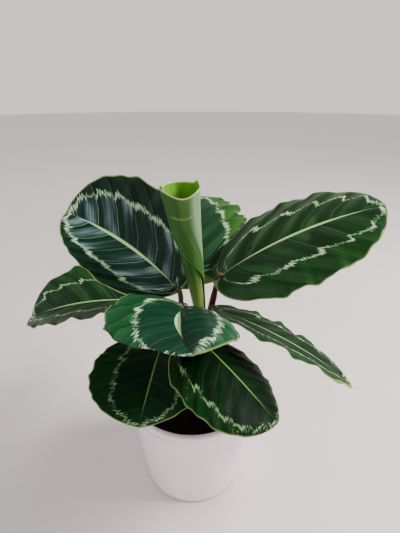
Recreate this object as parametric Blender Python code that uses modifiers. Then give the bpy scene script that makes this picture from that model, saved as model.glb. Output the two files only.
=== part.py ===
"""A potted calathea: a round tapered pot filled with soil, eight open leaves on their petioles,
and one new leaf that is still rolled up.

Metres, +Z up. The origin is the centre of the pot's underside, which stands on z = 0.
The plant is seen from -Y: a leaf whose heading is 0 degrees points to +X, and one whose
heading is -90 degrees points to -Y, towards the viewer.
"""

import math
from dataclasses import dataclass

import bmesh
import bpy
from mathutils import Vector

# Pot
POT_HEIGHT = 0.116
POT_TOP_RADIUS = 0.0705
POT_FOOT_RADIUS = 0.054
POT_WALL = 0.006
POT_FLOOR = 0.005
POT_FOOT_ROUNDING = 0.002
TURNING_STEPS = 48

# Soil
SOIL_TOP = 0.104
SOIL_CROWN_RISE = 0.003
FIT_GAP = 0.0005

# Leaves
BLADE_THICKNESS = 0.0010
BLADE_ROWS = 20
BLADE_COLUMNS = 8
OUTLINE_POWER = 2.5
OUTLINE_ROOT = 0.53
END_HALF_WIDTH = 0.0012

# Petioles
PETIOLE_RADIUS = 0.0021
PETIOLE_POINTS = 13
ROOT_DEPTH = 0.012
PETIOLE_END_GAP = 0.0030

# Rolled leaf
ROLL_THICKNESS = 0.0005
ROLL_ROWS = 14
ROLL_COLUMNS = 26
ROLL_SPREAD = 0.22


@dataclass(frozen=True)
class Blade:
    """One open leaf: where its midrib starts and how it runs, in metres and degrees.

    fold and curl are pairs for the left and right half, seen along the midrib from above: the
    angle at which a half leaves the midrib, up being positive, and how much more it turns
    by its margin.
    """

    name: str
    base: tuple
    heading: float
    pitch: float
    length: float
    width: float
    sweep: float = 0.0
    droop: float = 0.0
    roll: float = 0.0
    twist: float = 0.0
    fold: tuple = (0.0, 0.0)
    curl: tuple = (0.0, 0.0)
    ripple: float = 0.002
    ripples: float = 4.5


BLADES = (
    Blade("upper_left", (-0.013, 0.000, 0.238), heading=139, pitch=31, length=0.143, width=0.131,
          sweep=35, droop=9, roll=42, twist=-1, fold=(18, 18), curl=(43, 20)),
    Blade("far_left", (-0.044, 0.030, 0.208), heading=176, pitch=4, length=0.137, width=0.110,
          sweep=5, droop=26, twist=9, fold=(17, 20), curl=(-2, 0)),
    Blade("back", (0.010, 0.022, 0.244), heading=103, pitch=34, length=0.140, width=0.134,
          droop=29, roll=21, twist=-6, fold=(-2, 0), curl=(-36, -24)),
    Blade("right", (0.028, 0.001, 0.253), heading=-2, pitch=39, length=0.160, width=0.122,
          sweep=-5, droop=23, roll=-22, twist=8, fold=(4, 4), curl=(-20, -19)),
    Blade("low_right", (0.023, -0.003, 0.219), heading=-16, pitch=-13, length=0.149, width=0.100,
          sweep=3, droop=23, roll=13, twist=-6, fold=(0, 10), curl=(-11, 0)),
    Blade("front", (-0.006, -0.020, 0.231), heading=-102, pitch=18, length=0.112, width=0.117,
          sweep=35, droop=10, twist=-21, fold=(34, 28), curl=(-116, -17)),
    Blade("front_left", (-0.029, -0.002, 0.182), heading=-95, pitch=8, length=0.113, width=0.109,
          sweep=-1, droop=22, roll=-10, twist=5, fold=(8, 13), curl=(4, 0),
          ripple=0.0012),
    Blade("front_right", (0.003, -0.034, 0.209), heading=-55, pitch=-2, length=0.108, width=0.104,
          sweep=14, droop=32, roll=6, twist=5, fold=(0, 6), curl=(-42, -38),
          ripple=0.0012),
)



@dataclass(frozen=True)
class Stalk:
    """How one petiole runs from the soil to its blade.

    root is where it stands in the soil and lean how far it tilts there, per unit of height.
    leave and arrive say how long it keeps its direction at each end, and follow how much of
    the blade's own direction it has taken up by its end, the rest being upright.
    """

    root: tuple
    lean: tuple
    leave: float
    arrive: float
    follow: float


STALKS = {
    "upper_left": Stalk((-0.0113, 0.0093), (-0.06, 0.18), 1.38, 0.45, 0.23),
    "far_left": Stalk((-0.0129, -0.0084), (0.03, 0.20), 0.40, 1.14, 0.10),
    "back": Stalk((-0.0054, 0.0118), (-0.02, 0.18), 0.71, 0.73, 0.11),
    "right": Stalk((0.0045, 0.0147), (0.06, 0.21), 1.36, 1.04, 0.18),
    "low_right": Stalk((0.0139, 0.0081), (0.10, 0.12), 0.58, 1.10, 0.10),
    "front": Stalk((-0.0051, -0.0027), (-0.06, 0.02), 0.95, 1.29, 0.42),
    "front_left": Stalk((-0.0018, -0.0153), (-0.05, -0.18), 0.98, 0.74, 0.36),
    "front_right": Stalk((-0.0134, 0.0032), (0.26, -0.03), 0.72, 1.60, 0.88),
    "rolled": Stalk((-0.0067, -0.0096), (-0.11, 0.08), 0.73, 0.61, 0.67),
}

# The rolled leaf: the axis that it is wound about, and its radius at both ends.
ROLL_BASE = Vector((0.0105, -0.003, 0.200))
ROLL_TOP = Vector((-0.008, -0.015, 0.3445))
ROLL_BASE_RADIUS = 0.0044
ROLL_TOP_RADIUS = 0.0155
ROLL_MIDRIB_ANGLE = 30.0
ROLL_TIP_DROP = 0.08


def material(name, colour, roughness, metallic=0.0):
    """A Principled material of one colour."""
    made = bpy.data.materials.new(name)
    made.use_nodes = True
    shader = made.node_tree.nodes["Principled BSDF"]
    shader.inputs["Base Color"].default_value = (*colour, 1.0)
    shader.inputs["Roughness"].default_value = roughness
    shader.inputs["Metallic"].default_value = metallic
    return made


def add_object(name, data, collection, finish):
    """A new object in the collection, wearing the finish."""
    made = bpy.data.objects.new(name, data)
    made.data.materials.append(finish)
    collection.objects.link(made)
    return made


def turned(name, profile, collection, finish):
    """A closed turned body. The profile runs from the axis down its outer side and back to the axis."""
    mesh = bpy.data.meshes.new(name)
    edges = [(i, i + 1) for i in range(len(profile) - 1)]
    mesh.from_pydata([(radius, 0.0, height) for radius, height in profile], edges, [])
    made = add_object(name, mesh, collection, finish)
    screw = made.modifiers.new("turn", "SCREW")
    screw.steps = TURNING_STEPS
    screw.render_steps = TURNING_STEPS
    screw.use_merge_vertices = True
    screw.merge_threshold = 1e-5
    mesh.shade_smooth()
    return made


def pot_radius(height, wall=0.0):
    """The pot's outer radius at this height, less the wall."""
    share = height / POT_HEIGHT
    return POT_FOOT_RADIUS + (POT_TOP_RADIUS - POT_FOOT_RADIUS) * share - wall


def arc(centre, radius, start, end, steps):
    """Points of an arc in the profile's plane, angles in degrees."""
    angles = [math.radians(start + (end - start) * i / steps) for i in range(steps + 1)]
    return [(centre[0] + radius * math.cos(a), centre[1] + radius * math.sin(a)) for a in angles]


def build_pot(collection, finish):
    """The pot: a tapered cup with a rounded rim, a rounded foot and a flat underside."""
    rim_middle = pot_radius(POT_HEIGHT, POT_WALL / 2)
    rim = arc((rim_middle, POT_HEIGHT - POT_WALL / 2), POT_WALL / 2, 180, 0, 8)
    foot_centre = (pot_radius(0) - POT_FOOT_ROUNDING, POT_FOOT_ROUNDING)
    foot = arc(foot_centre, POT_FOOT_ROUNDING, 0, -90, 3)
    inner_corner = arc((pot_radius(POT_FLOOR, POT_WALL) - POT_FOOT_ROUNDING, POT_FLOOR + POT_FOOT_ROUNDING),
                       POT_FOOT_ROUNDING, -90, 0, 3)
    profile = [(0.0, POT_FLOOR), *inner_corner, *rim, *foot, (0.0, 0.0)]
    return turned("pot", profile, collection, finish)


def build_soil(collection, finish):
    """The soil: it fills the pot to a little under the rim and rises slightly at the plant."""
    bottom = POT_FLOOR + FIT_GAP
    clear = POT_WALL + FIT_GAP
    top_radius = pot_radius(SOIL_TOP, clear)
    profile = [
        (0.0, SOIL_TOP + SOIL_CROWN_RISE),
        (0.35 * top_radius, SOIL_TOP + 0.8 * SOIL_CROWN_RISE),
        (0.7 * top_radius, SOIL_TOP + 0.2 * SOIL_CROWN_RISE),
        (top_radius, SOIL_TOP),
        (pot_radius(POT_FLOOR + POT_FOOT_ROUNDING, clear), POT_FLOOR + POT_FOOT_ROUNDING + FIT_GAP),
        (pot_radius(POT_FLOOR, clear) - POT_FOOT_ROUNDING, bottom),
        (0.0, bottom),
    ]
    return turned("soil", profile, collection, finish)


def half_width(blade, share):
    """Half the blade's width at this share of its length: rounded at the base and at the tip."""
    from_middle = abs(2 * share - 1)
    full = blade.width / 2 * (1 - from_middle**OUTLINE_POWER) ** OUTLINE_ROOT
    return max(full, END_HALF_WIDTH)


def midrib_frame(blade, share):
    """The midrib's direction, and the side and up directions of the blade, at this share."""
    pitch = math.radians(blade.pitch - blade.droop * share)
    heading = math.radians(blade.heading + blade.sweep * share)
    along = Vector((math.cos(pitch) * math.cos(heading), math.cos(pitch) * math.sin(heading), math.sin(pitch)))
    level = Vector((math.sin(heading), -math.cos(heading), 0.0))
    above = level.cross(along)
    roll = math.radians(blade.roll + blade.twist * share)
    side = level * math.cos(roll) + above * math.sin(roll)
    up = above * math.cos(roll) - level * math.sin(roll)
    return along, side, up


def midrib_points(blade, rows):
    """The midrib as rows + 1 points, each half step taken in the direction at its own end."""
    step = blade.length / rows
    points = [Vector(blade.base)]
    for row in range(rows):
        before = midrib_frame(blade, row / rows)[0]
        after = midrib_frame(blade, (row + 1) / rows)[0]
        points.append(points[-1] + (before + after) * step / 2)
    return points


def across(blade, share, position):
    """How far out and how far up a point of the blade stands from the midrib.

    position runs from -1 at the left margin to 1 at the right one. A half is an arc that
    keeps its width as it curls, and its margin ripples.
    """
    half = 0 if position < 0 else 1
    out = abs(position)
    start = math.radians(blade.fold[half])
    turn = math.radians(blade.curl[half]) or 1e-6
    reach = half_width(blade, share)
    sideways = reach * (math.sin(start + turn * out) - math.sin(start)) / turn
    upward = reach * (math.cos(start) - math.cos(start + turn * out)) / turn
    wave = math.sin(2 * math.pi * blade.ripples * share + 2.1 * half)
    upward += blade.ripple * wave * out**3 * math.sin(math.pi * share)
    return math.copysign(sideways, position), upward


def build_blade(blade, collection, finish):
    """One open leaf: a grid laid along the midrib, made solid."""
    points = midrib_points(blade, BLADE_ROWS)
    cage = bmesh.new()
    bmesh.ops.create_grid(cage, x_segments=BLADE_ROWS, y_segments=BLADE_COLUMNS, size=1.0)
    for vertex in cage.verts:
        row = round((vertex.co.x + 1) / 2 * BLADE_ROWS)
        share = row / BLADE_ROWS
        _, side, up = midrib_frame(blade, share)
        sideways, upward = across(blade, share, -vertex.co.y)
        vertex.co = points[row] + side * sideways + up * upward
    mesh = bpy.data.meshes.new("leaf_" + blade.name)
    cage.to_mesh(mesh)
    cage.free()
    made = add_object("leaf_" + blade.name, mesh, collection, finish)
    solidify = made.modifiers.new("thickness", "SOLIDIFY")
    solidify.thickness = BLADE_THICKNESS
    solidify.offset = 0.0
    mesh.shade_smooth()
    return made


def smooth_step(share):
    """0 to 1, level at both ends."""
    share = min(max(share, 0.0), 1.0)
    return share * share * (3 - 2 * share)


def roll_turn(share, side):
    """How far round the axis a half of the rolled leaf reaches from its midrib, in degrees."""
    if side > 0:
        return 25 + 205 * smooth_step((share - 0.30) / 0.35)
    return 335 - 85 * share


def roll_point(share, position):
    """A point of the rolled leaf. Its right half is wound outside, its left half inside."""
    turn = position * roll_turn(share, position)
    height = share * (1 - ROLL_TIP_DROP * (turn / 240) ** 2 * share)
    radius = ROLL_BASE_RADIUS + (ROLL_TOP_RADIUS - ROLL_BASE_RADIUS) * height
    radius *= 1 + ROLL_SPREAD * turn / 360
    angle = math.radians(ROLL_MIDRIB_ANGLE - turn)
    centre = ROLL_BASE.lerp(ROLL_TOP, height)
    return centre + Vector((radius * math.cos(angle), radius * math.sin(angle), 0.0))


def build_rolled_leaf(collection, finish):
    """The new leaf: one sheet wound into a funnel that opens at the top."""
    cage = bmesh.new()
    bmesh.ops.create_grid(cage, x_segments=ROLL_ROWS, y_segments=ROLL_COLUMNS, size=1.0)
    for vertex in cage.verts:
        vertex.co = roll_point((vertex.co.x + 1) / 2, vertex.co.y)
    mesh = bpy.data.meshes.new("leaf_rolled")
    cage.to_mesh(mesh)
    cage.free()
    made = add_object("leaf_rolled", mesh, collection, finish)
    solidify = made.modifiers.new("thickness", "SOLIDIFY")
    solidify.thickness = ROLL_THICKNESS
    solidify.offset = 0.0
    mesh.shade_smooth()
    return made


def petiole_line(stalk, end, direction):
    """A smooth stalk from below the soil's surface to the blade, as a row of points."""
    start = Vector((*stalk.root, SOIL_TOP - ROOT_DEPTH))
    end = end - direction * PETIOLE_END_GAP
    reach = (end - start).length
    leaving = Vector((*stalk.lean, 1.0)).normalized() * reach * stalk.leave
    upright = Vector((0.0, 0.0, 1.0)) * (1 - stalk.follow)
    arriving = (direction * stalk.follow + upright).normalized() * reach * stalk.arrive
    points = []
    for i in range(PETIOLE_POINTS):
        t = i / (PETIOLE_POINTS - 1)
        points.append(
            start * (2 * t**3 - 3 * t**2 + 1)
            + leaving * (t**3 - 2 * t**2 + t)
            + end * (3 * t**2 - 2 * t**3)
            + arriving * (t**3 - t**2)
        )
    return points


def tube(name, points, radius, collection, finish):
    """A round stalk along the points, as a mesh with welded caps."""
    curve = bpy.data.curves.new(name, "CURVE")
    curve.dimensions = "3D"
    curve.bevel_depth = radius
    curve.bevel_resolution = 2
    curve.use_fill_caps = True
    spline = curve.splines.new("POLY")
    spline.points.add(len(points) - 1)
    for i, point in enumerate(points):
        spline.points[i].co = (*point, 1.0)
    drawn = bpy.data.objects.new(name + "_line", curve)
    collection.objects.link(drawn)
    graph = bpy.context.evaluated_depsgraph_get()
    mesh = bpy.data.meshes.new_from_object(drawn.evaluated_get(graph))
    bpy.data.objects.remove(drawn)
    welded = bmesh.new()
    welded.from_mesh(mesh)
    bmesh.ops.remove_doubles(welded, verts=welded.verts, dist=1e-5)
    welded.to_mesh(mesh)
    welded.free()
    mesh.materials.clear()
    return add_object(name, mesh, collection, finish)


def bore_soil(soil, line, name, cutters):
    """A hole in the soil for one petiole, a little wider and deeper than it."""
    below = line[0] + (line[0] - line[1]).normalized() * FIT_GAP
    hole = tube(name, [below, *line[1:6]], PETIOLE_RADIUS + FIT_GAP, cutters, soil.data.materials[0])
    hole.hide_render = True
    hole.display_type = "WIRE"
    cut = soil.modifiers.new(name, "BOOLEAN")
    cut.operation = "DIFFERENCE"
    cut.object = hole


def main():
    """Builds every piece."""
    for old in list(bpy.data.objects):
        bpy.data.objects.remove(old)
    parts = bpy.data.collections.new("potted_calathea")
    cutters = bpy.data.collections.new("cutters")
    for collection in (parts, cutters):
        bpy.context.scene.collection.children.link(collection)

    pot_white = material("pot_white", (0.80, 0.79, 0.82), 0.25)
    dark_soil = material("dark_soil", (0.018, 0.012, 0.010), 0.95)
    leaf_green = material("leaf_green", (0.020, 0.085, 0.030), 0.35)
    young_green = material("young_green", (0.22, 0.36, 0.11), 0.45)
    stalk_maroon = material("stalk_maroon", (0.055, 0.012, 0.016), 0.40)

    build_pot(parts, pot_white)
    soil = build_soil(parts, dark_soil)
    lines = {}
    for blade in BLADES:
        build_blade(blade, parts, leaf_green)
        direction = midrib_frame(blade, 0.0)[0]
        lines[blade.name] = petiole_line(STALKS[blade.name], Vector(blade.base), direction)
    build_rolled_leaf(parts, young_green)
    direction = (ROLL_TOP - ROLL_BASE).normalized()
    lines["rolled"] = petiole_line(STALKS["rolled"], ROLL_BASE, direction)
    for name, line in lines.items():
        finish = young_green if name == "rolled" else stalk_maroon
        tube("petiole_" + name, line, PETIOLE_RADIUS, parts, finish)
        bore_soil(soil, line, "hole_" + name, cutters)


main()
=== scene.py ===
"""A potted calathea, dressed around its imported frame.

Metres, +Z up. The pot's underside stands on z = 0 with its centre at the origin, and the
plant is seen from -Y. Leaf shapes follow the design values of the frame's own leaves: a midrib
that leaves its base at a heading and a pitch, and two halves that fold and curl away from it.
The visible blades add what the frame leaves out, such as lobes beside the stalk, pleats and waves.
"""

import logging
import math
from dataclasses import dataclass, field
from enum import Enum
from typing import Sequence

import bmesh
import bpy
import numpy as np
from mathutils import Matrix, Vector, noise


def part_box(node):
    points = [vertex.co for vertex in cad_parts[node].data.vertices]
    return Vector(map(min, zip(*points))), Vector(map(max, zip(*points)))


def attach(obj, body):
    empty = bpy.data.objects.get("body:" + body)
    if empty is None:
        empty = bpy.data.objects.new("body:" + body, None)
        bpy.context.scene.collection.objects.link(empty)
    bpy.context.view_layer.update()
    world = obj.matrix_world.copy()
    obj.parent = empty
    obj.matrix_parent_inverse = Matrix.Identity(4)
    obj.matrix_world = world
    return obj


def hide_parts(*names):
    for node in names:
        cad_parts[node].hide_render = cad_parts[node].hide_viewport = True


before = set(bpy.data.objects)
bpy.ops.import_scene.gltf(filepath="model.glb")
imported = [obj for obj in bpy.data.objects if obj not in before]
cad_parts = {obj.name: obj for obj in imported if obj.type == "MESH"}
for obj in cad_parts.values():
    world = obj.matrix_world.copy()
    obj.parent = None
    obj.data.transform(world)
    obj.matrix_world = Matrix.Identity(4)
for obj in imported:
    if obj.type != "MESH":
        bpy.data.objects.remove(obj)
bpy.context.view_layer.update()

LOG = logging.getLogger("potted_calathea")

# A leaf's outline: how square its ends and its sides are. SIDE_ROUNDNESS is 1 / SIDE_POWER, rounded.
END_ROUNDNESS = 2.5
SIDE_POWER = 0.53
SIDE_ROUNDNESS = 1.887
# How far the side veins right of the midrib are shifted from those left of it, in parts of their spacing.
SIDE_SHIFT = 0.43

# How deep a stalk starts below the soil's top, and how far short of its blade it turns into the joint.
ROOT_DEPTH = 0.012
JOINT_GAP = 0.003
JOINT_LENGTH = 0.0056
# A stalk's radius in the middle, and what its sheath below and its joint above add to it.
STALK_RADIUS = 0.0024
SHEATH_SWELL = 0.0010
JOINT_SWELL = 0.0003

Colour = tuple[float, float, float]
Triple = tuple[float, float, float]
Pair = tuple[float, float]
Socket = bpy.types.NodeSocket


class Slot(Enum):
    """Names of the material slots."""

    POT = "pot_white"
    SOIL = "dark_soil"
    LEAF = "leaf_green"
    YOUNG = "young_green"
    STALK = "stalk_maroon"


class Face(Enum):
    """Which side of a blade a face lies on. The value is its material index."""

    UPPER = 0
    UNDER = 1


# ---------------------------------------------------------------------------
# Making meshes and materials


class NodeBench:
    """One material's node tree, with short ways to add and join nodes."""

    def __init__(self, name: str) -> None:
        """Starts a material with a Principled shader.

        Args:
            name: the material's name.
        """
        self.material = bpy.data.materials.new(name)
        self.material.use_nodes = True
        self.tree = self.material.node_tree
        self.shader = self.tree.nodes["Principled BSDF"]

    def put(self, kind: str, **settings: object) -> bpy.types.Node:
        """Adds a node.

        Args:
            kind: the node's class name without its ShaderNode start.
            settings: properties of the node.

        Returns:
            The new node.
        """
        node = self.tree.nodes.new("ShaderNode" + kind)
        for key, value in settings.items():
            setattr(node, key, value)
        return node

    def feed(self, socket: Socket, value: object) -> None:
        """Joins a socket to an output, or sets its value.

        Args:
            socket: the input to fill.
            value: an output socket, a number or a colour.
        """
        if isinstance(value, Socket):
            self.tree.links.new(value, socket)
        elif isinstance(value, tuple) and len(value) == 3 and socket.type == "RGBA":
            socket.default_value = (*value, 1.0)
        else:
            socket.default_value = value

    def math(self, operation: str, *values: object) -> Socket:
        """A Math node.

        Args:
            operation: the node's operation.
            values: up to three inputs.

        Returns:
            The result.
        """
        node = self.put("Math", operation=operation)
        for socket, value in zip(node.inputs, values):
            self.feed(socket, value)
        return node.outputs[0]

    def times(self, first: object, second: object) -> Socket:
        """The product of two values."""
        return self.math("MULTIPLY", first, second)

    def scaled(self, value: object, factor: object, added: object) -> Socket:
        """A value times a factor, with something added."""
        return self.math("MULTIPLY_ADD", value, factor, added)

    def less(self, first: object, second: object) -> Socket:
        """The first value less the second."""
        return self.math("SUBTRACT", first, second)

    def size(self, value: object) -> Socket:
        """A value without its sign."""
        return self.math("ABSOLUTE", value)

    def centred(self, value: object) -> Socket:
        """A noise value, moved so that its middle is 0."""
        return self.less(value, 0.5)

    def ease(self, value: object, low: object, high: object,
             start: float = 0.0, end: float = 1.0) -> Socket:
        """A smooth step from start to end as the value goes from low to high.

        Args:
            value: the value to map.
            low: where the step begins.
            high: where the step ends.
            start: the result below low.
            end: the result above high.

        Returns:
            The mapped value.
        """
        node = self.put("MapRange", interpolation_type="SMOOTHSTEP")
        for socket, entry in zip(node.inputs, (value, low, high, start, end)):
            self.feed(socket, entry)
        return node.outputs[0]

    def mix(self, share: object, first: object, second: object) -> Socket:
        """Blends two colours.

        Args:
            share: how much of the second colour, from 0 to 1.
            first: a colour or an output.
            second: a colour or an output.

        Returns:
            The blended colour.
        """
        node = self.put("Mix", data_type="RGBA")
        self.feed(node.inputs["Factor"], share)
        self.feed(node.inputs[6], first)
        self.feed(node.inputs[7], second)
        return node.outputs[2]

    def vector(self, x: object, y: object, z: object = 0.0) -> Socket:
        """Three values joined into a vector."""
        node = self.put("CombineXYZ")
        for socket, value in zip(node.inputs, (x, y, z)):
            self.feed(socket, value)
        return node.outputs[0]

    def grain(self, where: object, scale: float, detail: float = 2.0, rough: float = 0.5) -> Socket:
        """A noise value from 0 to 1.

        Args:
            where: the coordinates that it is read at.
            scale: how fine it is.
            detail: how many finer layers it holds.
            rough: how strong the finer layers are.

        Returns:
            The noise.
        """
        node = self.put("TexNoise")
        self.feed(node.inputs["Vector"], where)
        self.feed(node.inputs["Scale"], scale)
        self.feed(node.inputs["Detail"], detail)
        self.feed(node.inputs["Roughness"], rough)
        return node.outputs[0]

    def streaks(self, first: object, second: object, seed: float,
                detail: float, rough: float = 0.5) -> Socket:
        """Noise over two coordinates; where one of them is scaled more, it is drawn out into streaks."""
        return self.grain(self.vector(first, second, seed), 1.0, detail, rough)

    def place(self) -> Socket:
        """Object coordinates, in metres."""
        return self.put("TexCoord").outputs["Object"]

    def map_place(self, name: str) -> Socket:
        """The place in a UV map."""
        return self.put("UVMap", uv_map=name).outputs[0]

    def parts(self, where: Socket) -> list[Socket]:
        """A vector's three values."""
        split = self.put("SeparateXYZ")
        self.feed(split.inputs[0], where)
        return list(split.outputs)

    def place_on_leaf(self) -> tuple[Socket, Socket, Socket]:
        """Where a point lies on a leaf.

        Returns:
            The place along the midrib, the signed place across it and the distance out from it.
        """
        across, along, _ = self.parts(self.map_place("blade"))
        signed = self.scaled(across, 2.0, -1.0)
        return along, signed, self.size(signed)

    def relief(self, height: object, distance: float, strength: float = 1.0) -> None:
        """Turns a height into a bump on the shader.

        Args:
            height: the height, from 0 to 1.
            distance: how tall a height of 1 is, in metres.
            strength: how much of it shows.
        """
        node = self.put("Bump")
        node.inputs["Distance"].default_value = distance
        node.inputs["Strength"].default_value = strength
        self.feed(node.inputs["Height"], height)
        self.feed(self.shader.inputs["Normal"], node.outputs[0])

    def colour(self, value: object) -> None:
        """Sets the shader's colour."""
        self.feed(self.shader.inputs["Base Color"], value)

    def roughness(self, value: object) -> None:
        """Sets the shader's roughness."""
        self.feed(self.shader.inputs["Roughness"], value)

    def set(self, **inputs: float) -> None:
        """Sets shader sockets that are the same all over; an underscore stands for a space."""
        for key, value in inputs.items():
            self.shader.inputs[key.replace("_", " ")].default_value = value


def smooth(value: np.ndarray, low: float, high: float) -> np.ndarray:
    """A smooth step from 0 to 1 as the value goes from low to high."""
    share = np.clip((value - low) / (high - low), 0.0, 1.0)
    return share * share * (3.0 - 2.0 * share)


def stand(name: str, data: bpy.types.ID) -> bpy.types.Object:
    """Makes an object and links it to the scene."""
    made = bpy.data.objects.new(name, data)
    bpy.context.scene.collection.objects.link(made)
    return made


def finished(shape: bmesh.types.BMesh, name: str) -> bpy.types.Mesh:
    """Turns a worked shape into a mesh, and frees the shape."""
    mesh = bpy.data.meshes.new(name)
    shape.to_mesh(mesh)
    shape.free()
    return mesh


@dataclass
class Piece:
    """A visible piece of the plant, and how it stands in the frame."""

    name: str
    nodes: tuple[str, ...]
    slot: Slot

    def settle(self, mesh: bpy.types.Mesh, materials: Sequence[bpy.types.Material]) -> bpy.types.Object:
        """Makes the object, dresses it and hands it to the frame.

        Args:
            mesh: the finished mesh, in the frame's coordinates.
            materials: its materials, in the order of its material indices.

        Returns:
            The object.
        """
        for entry in materials:
            mesh.materials.append(entry)
        mesh.shade_smooth()
        made = stand(self.name, mesh)
        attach(made, "root")
        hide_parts(*self.nodes)
        LOG.info("%s: %d faces", self.name, len(mesh.polygons))
        return made


class SheetMesh:
    """A thin closed sheet made of an upper grid, an under grid and the rim between them."""

    def __init__(self, upper: np.ndarray, under: np.ndarray, across: np.ndarray, along: np.ndarray) -> None:
        """Keeps the two grids.

        Args:
            upper: points of the upper face, rows by columns by 3.
            under: points of the under face, of the same size.
            across: each point's place across the sheet, from -1 to 1.
            along: each point's place along the sheet, from 0 to 1.
        """
        self.upper = upper
        self.under = under
        self.across = across
        self.along = along

    def build(self, name: str) -> bpy.types.Mesh:
        """Makes the mesh, with its leaf coordinates in a UV map.

        Args:
            name: the mesh's name.

        Returns:
            The mesh: faces of the upper grid have material 0 and all others 1.
        """
        rows, columns = self.upper.shape[:2]
        count = rows * columns
        points = np.vstack([self.upper.reshape(-1, 3), self.under.reshape(-1, 3)])
        row, column = np.meshgrid(np.arange(rows - 1), np.arange(columns - 1), indexing="ij")
        first = (row * columns + column).ravel()
        quads = np.stack([first, first + columns, first + columns + 1, first + 1], axis=1)
        backs = quads[:, ::-1] + count
        ring = np.concatenate([
            np.arange(columns),
            np.arange(2, rows + 1) * columns - 1,
            (rows - 1) * columns + np.arange(columns - 2, -1, -1),
            np.arange(rows - 2, 0, -1) * columns,
        ])
        after = np.roll(ring, -1)
        rim = np.stack([ring, after, after + count, ring + count], axis=1)
        faces = np.vstack([quads, backs, rim])
        mesh = bpy.data.meshes.new(name)
        mesh.from_pydata(points.tolist(), [], faces.tolist())
        sides = np.ones(len(faces), dtype=np.int32) * Face.UNDER.value
        sides[: len(quads)] = Face.UPPER.value
        mesh.polygons.foreach_set("material_index", sides)
        layer = mesh.uv_layers.new(name="blade")
        place = np.stack([0.5 + 0.5 * self.across.ravel(), self.along.ravel()], axis=1)
        place = np.vstack([place, place])[faces.ravel()]
        layer.data.foreach_set("uv", place.astype(np.float32).ravel())
        mesh.update()
        return mesh


def grid_normals(points: np.ndarray) -> np.ndarray:
    """Unit normals of a grid of points.

    Args:
        points: rows by columns by 3.

    Returns:
        The normals, of the same size.
    """
    down = np.gradient(points, axis=0)
    over = np.gradient(points, axis=1)
    normal = np.cross(over, down)
    length = np.linalg.norm(normal, axis=2, keepdims=True)
    return normal / np.maximum(length, 1e-12)


class Stem:
    """A round stem along a line of points, with its own radius at each."""

    def __init__(self, line: np.ndarray, radii: np.ndarray, around: int = 16) -> None:
        """Keeps the line and the radii.

        Args:
            line: the points, in order.
            radii: the radius at each point.
            around: how many points a ring has.
        """
        self.line = line
        self.radii = radii
        self.around = around

    def build(self, name: str) -> bpy.types.Mesh:
        """Makes the stem's mesh, closed at both ends.

        Args:
            name: the mesh's name.

        Returns:
            The mesh. Its UV map runs round the stem and along it.
        """
        count = len(self.line)
        along = np.gradient(self.line, axis=0)
        along /= np.linalg.norm(along, axis=1, keepdims=True)
        side = np.cross(along, np.array([0.0, 1.0, 0.0]))
        side /= np.linalg.norm(side, axis=1, keepdims=True)
        other = np.cross(along, side)
        turn = np.arange(self.around) / self.around * 2 * math.pi
        rings = (
            self.line[:, None]
            + self.radii[:, None, None] * (side[:, None] * np.cos(turn)[None, :, None]
                                           + other[:, None] * np.sin(turn)[None, :, None])
        )
        points = np.vstack([rings.reshape(-1, 3), self.line[:1], self.line[-1:]])
        faces = []
        for row in range(count - 1):
            for step in range(self.around):
                after = (step + 1) % self.around
                low, high = row * self.around, (row + 1) * self.around
                faces.append((low + step, low + after, high + after, high + step))
        bottom, top = count * self.around, count * self.around + 1
        last = (count - 1) * self.around
        for step in range(self.around):
            after = (step + 1) % self.around
            faces.append((bottom, after, step))
            faces.append((top, last + step, last + after))
        mesh = bpy.data.meshes.new(name)
        mesh.from_pydata(points.tolist(), [], faces)
        layer = mesh.uv_layers.new(name="stem")
        for polygon in mesh.polygons:
            for loop in polygon.loop_indices:
                vertex = mesh.loops[loop].vertex_index
                if vertex < bottom:
                    row, step = divmod(vertex, self.around)
                    layer.data[loop].uv = (step / self.around, row / (count - 1))
                else:
                    layer.data[loop].uv = (0.5, 0.0 if vertex == bottom else 1.0)
        mesh.update()
        return mesh


# ---------------------------------------------------------------------------
# Finishes


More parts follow.
